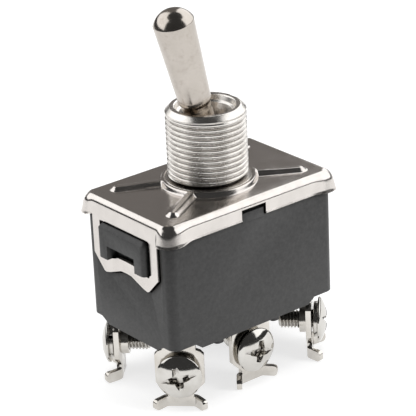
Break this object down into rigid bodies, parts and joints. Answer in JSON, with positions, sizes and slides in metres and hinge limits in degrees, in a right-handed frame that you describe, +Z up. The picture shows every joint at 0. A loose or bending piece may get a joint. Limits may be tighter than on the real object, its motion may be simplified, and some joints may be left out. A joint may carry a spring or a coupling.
{
  "type": "bat-handle toggle switch",
  "caption": "Panel toggle switch with a bat lever, a threaded bushing, a folded metal cover and screw terminals under a moulded body.",
  "frame": {"origin": "on the bushing's axis, at the top of the cover's collar, where a panel seats", "axes": "+Z up the bushing, X along the switch in the way the lever throws, Y across it; the lever rests thrown to -X"},
  "size_m": [0.0336, 0.0224, 0.0573],
  "materials": {
    "cover": "nickel-plated, semi-bright",
    "bushing": "nickel-plated, bright",
    "lever": "nickel-plated, satin with a bright dome",
    "pin": "ground steel",
    "nylon": "natural nylon",
    "spring": "drawn wire",
    "insulator": "vulcanised fibre",
    "housing": "fine satin, moulded",
    "rocker": "pressed copper alloy",
    "contact": "silver alloy",
    "terminal": "nickel-plated brass, bright",
    "screw": "nickel-plated steel, bright",
    "washer": "plated spring steel"
  },
  "bodies": {
    "base": {"housing": "housing", "cover": "cover", "bushing": "bushing", "insulator": "insulator", "fixed_contact_left_front": "contact", "fixed_contact_right_front": "contact", "fixed_contact_right_back": "contact", "fixed_contact_left_back": "contact", "terminal_left_front": "terminal", "terminal_right_front": "terminal", "terminal_right_back": "terminal", "terminal_left_back": "terminal", "terminal_middle_front": "terminal", "terminal_middle_back": "terminal"},
    "lever": {"lever": "lever", "pivot_pin": "pin", "actuator_spring": "spring"},
    "actuator": {"actuator": "nylon"},
    "rocker_front": {"rocker_front": "rocker", "moving_contact_left_front": "contact", "moving_contact_right_front": "contact"},
    "rocker_back": {"rocker_back": "rocker", "moving_contact_left_back": "contact", "moving_contact_right_back": "contact"},
    "washer_left_front": {"washer_left_front": "washer"},
    "screw_left_front": {"screw_left_front": "screw"},
    "washer_right_front": {"washer_right_front": "washer"},
    "screw_right_front": {"screw_right_front": "screw"},
    "washer_right_back": {"washer_right_back": "washer"},
    "screw_right_back": {"screw_right_back": "screw"},
    "washer_left_back": {"washer_left_back": "washer"},
    "screw_left_back": {"screw_left_back": "screw"},
    "washer_middle_front": {"washer_middle_front": "washer"},
    "screw_middle_front": {"screw_middle_front": "screw"},
    "washer_middle_back": {"washer_middle_back": "washer"},
    "screw_middle_back": {"screw_middle_back": "screw"}
  },
  "joints": [
    {"name": "lever_tilt", "type": "hinge", "parent": "base", "child": "lever", "pos_m": [0, 0, 0.00455], "axis": [0, 1, 0], "range_deg": [0, 28.6]},
    {"name": "actuator_slide", "type": "slide", "parent": "lever", "child": "actuator", "axis": [-0.247, 0, 0.969], "range_m": [0, 0.0009], "stiffness_N_per_m": 2000, "springref_m": -0.001, "deforming": ["actuator_spring"]},
    {"name": "rocker_front_tilt", "type": "hinge", "parent": "base", "child": "rocker_front", "pos_m": [0, -0.00461, -0.01564], "axis": [0, 1, 0], "range_deg": [-16.01, 0]},
    {"name": "rocker_back_tilt", "type": "hinge", "parent": "base", "child": "rocker_back", "pos_m": [0, 0.00461, -0.01564], "axis": [0, 1, 0], "range_deg": [-16.01, 0]},
    {"name": "washer_left_front_slide", "type": "slide", "parent": "base", "child": "washer_left_front", "axis": [-0.7071, -0.7071, 0], "range_m": [-0.00025, 0.002]},
    {"name": "screw_left_front_turn", "type": "hinge", "parent": "washer_left_front", "child": "screw_left_front", "pos_m": [-0.01288, -0.00753, -0.0256], "axis": [-0.7071, -0.7071, 0], "range_deg": [-180.01, 1440.05]},
    {"name": "washer_right_front_slide", "type": "slide", "parent": "base", "child": "washer_right_front", "axis": [0.7071, -0.7071, 0], "range_m": [-0.00025, 0.002]},
    {"name": "screw_right_front_turn", "type": "hinge", "parent": "washer_right_front", "child": "screw_right_front", "pos_m": [0.01288, -0.00753, -0.0256], "axis": [0.7071, -0.7071, 0], "range_deg": [-180.01, 1440.05]},
    {"name": "washer_right_back_slide", "type": "slide", "parent": "base", "child": "washer_right_back", "axis": [0.7071, 0.7071, 0], "range_m": [-0.00025, 0.002]},
    {"name": "screw_right_back_turn", "type": "hinge", "parent": "washer_right_back", "child": "screw_right_back", "pos_m": [0.01288, 0.00753, -0.0256], "axis": [0.7071, 0.7071, 0], "range_deg": [-180.01, 1440.05]},
    {"name": "washer_left_back_slide", "type": "slide", "parent": "base", "child": "washer_left_back", "axis": [-0.7071, 0.7071, 0], "range_m": [-0.00025, 0.002]},
    {"name": "screw_left_back_turn", "type": "hinge", "parent": "washer_left_back", "child": "screw_left_back", "pos_m": [-0.01288, 0.00753, -0.0256], "axis": [-0.7071, 0.7071, 0], "range_deg": [-180.01, 1440.05]},
    {"name": "washer_middle_front_slide", "type": "slide", "parent": "base", "child": "washer_middle_front", "axis": [0, -1, 0], "range_m": [-0.00025, 0.002]},
    {"name": "screw_middle_front_turn", "type": "hinge", "parent": "washer_middle_front", "child": "screw_middle_front", "pos_m": [0, -0.0084, -0.0256], "axis": [0, -1, 0], "range_deg": [-180.01, 1440.05]},
    {"name": "washer_middle_back_slide", "type": "slide", "parent": "base", "child": "washer_middle_back", "axis": [0, 1, 0], "range_m": [-0.00025, 0.002]},
    {"name": "screw_middle_back_turn", "type": "hinge", "parent": "washer_middle_back", "child": "screw_middle_back", "pos_m": [0, 0.0084, -0.0256], "axis": [0, 1, 0], "range_deg": [-180.01, 1440.05]}
  ],
  "couplings": [
    {"joint": "rocker_front_tilt", "follows": "lever_tilt", "ratio": -0.55944},
    {"joint": "rocker_back_tilt", "follows": "lever_tilt", "ratio": -0.55944},
    {"joint": "screw_left_front_turn", "follows": "washer_left_front_slide", "rad_per_m": 12566},
    {"joint": "screw_right_front_turn", "follows": "washer_right_front_slide", "rad_per_m": 12566},
    {"joint": "screw_right_back_turn", "follows": "washer_right_back_slide", "rad_per_m": 12566},
    {"joint": "screw_left_back_turn", "follows": "washer_left_back_slide", "rad_per_m": 12566},
    {"joint": "screw_middle_front_turn", "follows": "washer_middle_front_slide", "rad_per_m": 12566},
    {"joint": "screw_middle_back_turn", "follows": "washer_middle_back_slide", "rad_per_m": 12566}
  ]
}
